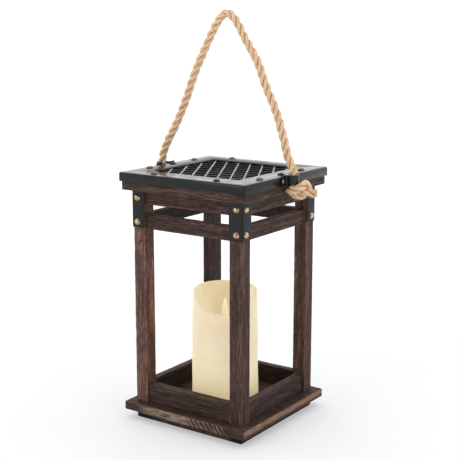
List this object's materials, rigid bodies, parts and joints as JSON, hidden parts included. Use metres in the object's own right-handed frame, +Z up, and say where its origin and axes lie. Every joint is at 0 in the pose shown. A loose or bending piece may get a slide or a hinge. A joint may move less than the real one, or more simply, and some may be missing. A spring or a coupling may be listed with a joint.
{
  "type": "candle lantern",
  "caption": "Square wooden lantern with open sides, a sheet-metal cap with a mesh vent, a rope handle and a battery pillar candle.",
  "frame": {"origin": "middle of the plinth's underside", "axes": "+Z up, -Y the front, the rope handle lies in the XZ plane"},
  "size_m": [0.2272, 0.1692, 0.4637],
  "materials": {
    "black_wood": "matt black stain",
    "base_wood": "dark walnut stain, open grain",
    "post_wood": "dark walnut stain, open grain",
    "rail_wood": "dark walnut stain, open grain",
    "top_wood": "dark walnut stain, open grain",
    "black_metal": "satin black powder coat",
    "mesh_metal": "black coat, worn bright on the strands' edges",
    "aged_brass": "antique brass",
    "black_steel": "black oxide",
    "zinc_steel": "zinc plated",
    "beech": "plain beech",
    "jute_rope": "three-strand jute, laid right-handed",
    "ivory_wax": "real wax, satin",
    "white_plastic": "moulded",
    "contact_brass": "bright",
    "battery_sleeve": "plain sleeve",
    "spring_steel": "nickel plated",
    "board_green": "solder mask",
    "lamp_clear": "clear epoxy",
    "flame_clear": "milky clear"
  },
  "bodies": {
    "lantern": {"plinth": "black_wood", "base_board": "base_wood", "post_front_left": "post_wood", "post_front_right": "post_wood", "post_rear_right": "post_wood", "post_rear_left": "post_wood", "tray_rail_front": "rail_wood", "tray_rail_right": "rail_wood", "tray_rail_rear": "rail_wood", "tray_rail_left": "rail_wood", "mid_rail_front": "rail_wood", "mid_rail_right": "rail_wood", "mid_rail_rear": "rail_wood", "mid_rail_left": "rail_wood", "top_rail_front": "rail_wood", "top_rail_right": "rail_wood", "top_rail_rear": "rail_wood", "top_rail_left": "rail_wood", "top_frame_front": "top_wood", "top_frame_right": "top_wood", "top_frame_rear": "top_wood", "top_frame_left": "top_wood", "cap": "black_metal", "bracket_front_left": "black_metal", "bracket_front_right": "black_metal", "bracket_rear_right": "black_metal", "bracket_rear_left": "black_metal", "rope_strap_left": "black_metal", "rope_strap_right": "black_metal", "vent_mesh": "mesh_metal", "cap_rivets": "aged_brass", "bracket_tacks": "aged_brass", "cap_screws": "black_steel", "strap_rivets": "black_steel", "plinth_screws": "zinc_steel", "base_screws": "zinc_steel", "top_frame_screws": "zinc_steel", "rail_dowels": "beech", "rope_end_left": "jute_rope", "rope_end_right": "jute_rope", "rope_knot_left": "jute_rope", "rope_knot_right": "jute_rope"},
    "handle": {"rope_handle": "jute_rope"},
    "candle": {"candle_wax": "ivory_wax", "candle_core": "white_plastic", "core_lid": "white_plastic", "core_screws": "zinc_steel", "battery_a": "battery_sleeve", "battery_b": "battery_sleeve", "contact_springs": "spring_steel", "circuit_board": "board_green", "led": "lamp_clear", "flame_tip": "flame_clear"},
    "cover": {"battery_cover": "white_plastic", "cover_contact": "contact_brass"},
    "switch": {"power_switch": "white_plastic"}
  },
  "joints": [
    {"name": "handle_swing", "type": "hinge", "parent": "lantern", "child": "handle", "pos_m": [0, 0, 0.292], "axis": [1, 0, 0], "range_deg": [-80, 80]},
    {"name": "candle_lift", "type": "slide", "parent": "lantern", "child": "candle", "axis": [0, 0, 1], "range_m": [0, 0.04]},
    {"name": "cover_twist", "type": "hinge", "parent": "candle", "child": "cover", "pos_m": [0, 0, 0.022], "axis": [0, 0, 1], "range_deg": [0, 35]},
    {"name": "switch_slide", "type": "slide", "parent": "candle", "child": "switch", "axis": [1, 0, 0], "range_m": [0, 0.003]}
  ]
}
